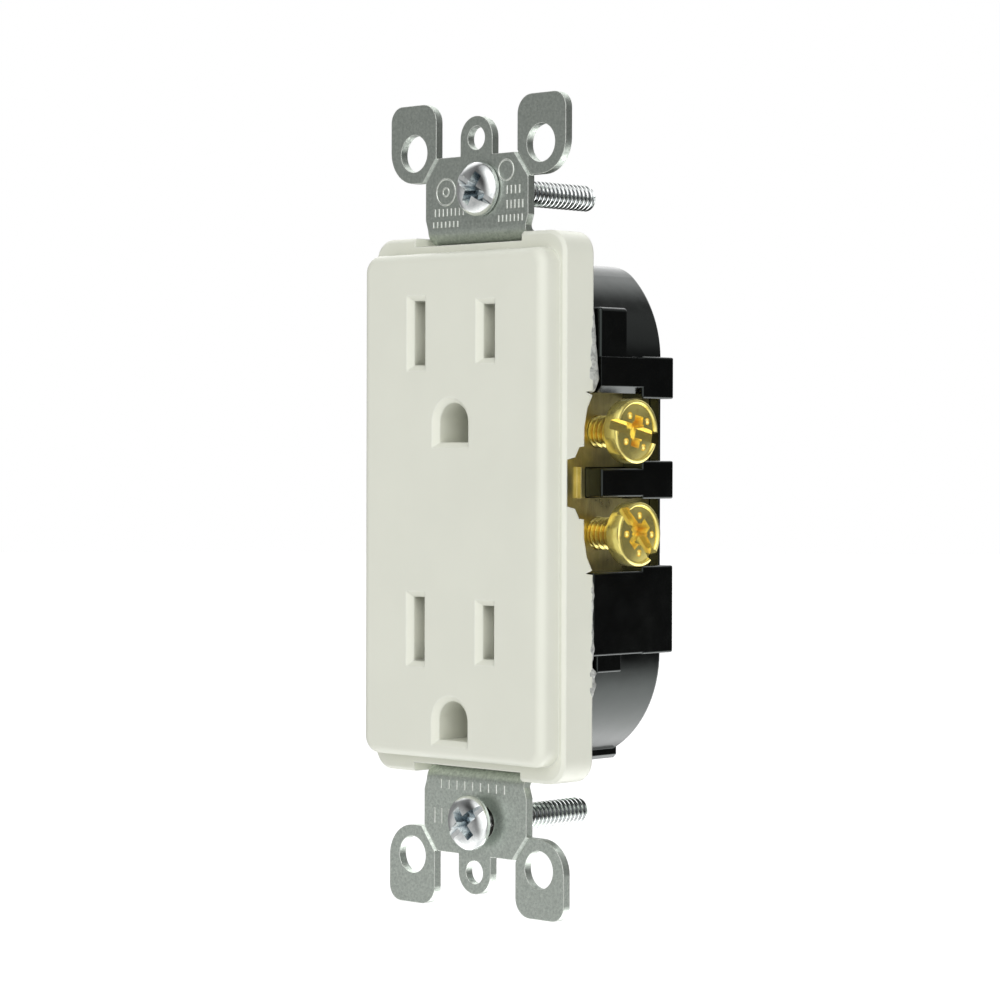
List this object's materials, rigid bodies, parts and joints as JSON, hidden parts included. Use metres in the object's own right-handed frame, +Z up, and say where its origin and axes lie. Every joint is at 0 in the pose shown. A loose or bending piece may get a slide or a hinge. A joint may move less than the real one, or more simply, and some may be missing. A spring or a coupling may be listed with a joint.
{
  "type": "duplex wall outlet",
  "caption": "Duplex wall outlet with a rectangular off-white face, steel mounting strap with plaster ears, black rear body, side wire screws and shuttered blade slots.",
  "frame": {"origin": "centre of the device on the rear face plane of the mounting strap's ears, midway between the two wall-plate screw holes", "axes": "the face looks along -Y, +X is the right side with the brass screws, +Z is up"},
  "size_m": [0.0414, 0.0262, 0.107],
  "materials": {
    "cover_plastic": "satin moulded, off-white",
    "zinc_steel": "dull zinc plate",
    "black_plastic": "moulded, slightly glossy",
    "brass_strip": "stamped, as rolled",
    "plated_strip": "tin-plated brass",
    "contact_bronze": "stamped",
    "brass_screw": "bright",
    "nickel_screw": "bright nickel plate",
    "zinc_screw": "bright zinc plate",
    "green_screw": "green dyed zinc plate",
    "washer_fibre": "pressed fibre",
    "spring_steel": "bright",
    "rivet_steel": "plated",
    "shutter_plastic": "moulded",
    "frame_plastic": "moulded"
  },
  "bodies": {
    "device": {"front_cover": "cover_plastic", "mounting_strap": "zinc_steel", "rear_body": "black_plastic", "hot_contact_strip": "brass_strip", "neutral_contact_strip": "plated_strip", "hot_push_in_clips": "spring_steel", "neutral_push_in_clips": "spring_steel", "ground_contact_upper": "contact_bronze", "ground_contact_lower": "contact_bronze", "ground_contact_rivets": "rivet_steel", "shutter_frame_upper": "frame_plastic", "shutter_frame_lower": "frame_plastic", "shutter_spring_upper": "spring_steel", "shutter_spring_lower": "spring_steel"},
    "shutter_slide_upper": {"shutter_slide_upper": "shutter_plastic"},
    "retaining_washer_upper": {"retaining_washer_upper": "washer_fibre"},
    "box_screw_upper": {"box_screw_upper": "zinc_screw"},
    "hot_screw_upper": {"hot_screw_upper": "brass_screw"},
    "neutral_screw_upper": {"neutral_screw_upper": "nickel_screw"},
    "shutter_slide_lower": {"shutter_slide_lower": "shutter_plastic"},
    "retaining_washer_lower": {"retaining_washer_lower": "washer_fibre"},
    "box_screw_lower": {"box_screw_lower": "zinc_screw"},
    "hot_screw_lower": {"hot_screw_lower": "brass_screw"},
    "neutral_screw_lower": {"neutral_screw_lower": "nickel_screw"},
    "ground_screw": {"ground_screw": "green_screw"}
  },
  "joints": [
    {"name": "shutter_upper_slide", "type": "slide", "parent": "device", "child": "shutter_slide_upper", "axis": [1, 0, 0], "range_m": [0, 0.0026], "stiffness_N_per_m": 80, "springref_m": -0.0015, "deforming": ["shutter_spring_upper"]},
    {"name": "box_screw_upper_float", "type": "slide", "parent": "device", "child": "retaining_washer_upper", "axis": [0, -1, 0], "range_m": [0, 0.0029]},
    {"name": "box_screw_upper_turn", "type": "hinge", "parent": "retaining_washer_upper", "child": "box_screw_upper", "pos_m": [0.0007, 0.002, 0.04165], "axis": [0, -1, 0], "continuous": true},
    {"name": "hot_screw_upper_travel", "type": "slide", "parent": "device", "child": "hot_screw_upper", "axis": [1, 0, 0], "range_m": [-0.00435, 0.0006]},
    {"name": "neutral_screw_upper_travel", "type": "slide", "parent": "device", "child": "neutral_screw_upper", "axis": [-1, 0, 0], "range_m": [-0.00435, 0.0006]},
    {"name": "shutter_lower_slide", "type": "slide", "parent": "device", "child": "shutter_slide_lower", "axis": [1, 0, 0], "range_m": [0, 0.0026], "stiffness_N_per_m": 80, "springref_m": -0.0015, "deforming": ["shutter_spring_lower"]},
    {"name": "box_screw_lower_float", "type": "slide", "parent": "device", "child": "retaining_washer_lower", "axis": [0, -1, 0], "range_m": [-0.00128, 0.0016]},
    {"name": "box_screw_lower_turn", "type": "hinge", "parent": "retaining_washer_lower", "child": "box_screw_lower", "pos_m": [0.0007, 0.002, -0.04165], "axis": [0, -1, 0], "continuous": true},
    {"name": "hot_screw_lower_travel", "type": "slide", "parent": "device", "child": "hot_screw_lower", "axis": [1, 0, 0], "range_m": [-0.00485, 0.0006]},
    {"name": "neutral_screw_lower_travel", "type": "slide", "parent": "device", "child": "neutral_screw_lower", "axis": [-1, 0, 0], "range_m": [-0.00485, 0.0006]},
    {"name": "ground_screw_travel", "type": "slide", "parent": "device", "child": "ground_screw", "axis": [-1, 0, 0], "range_m": [-0.00255, 0.0006]}
  ]
}
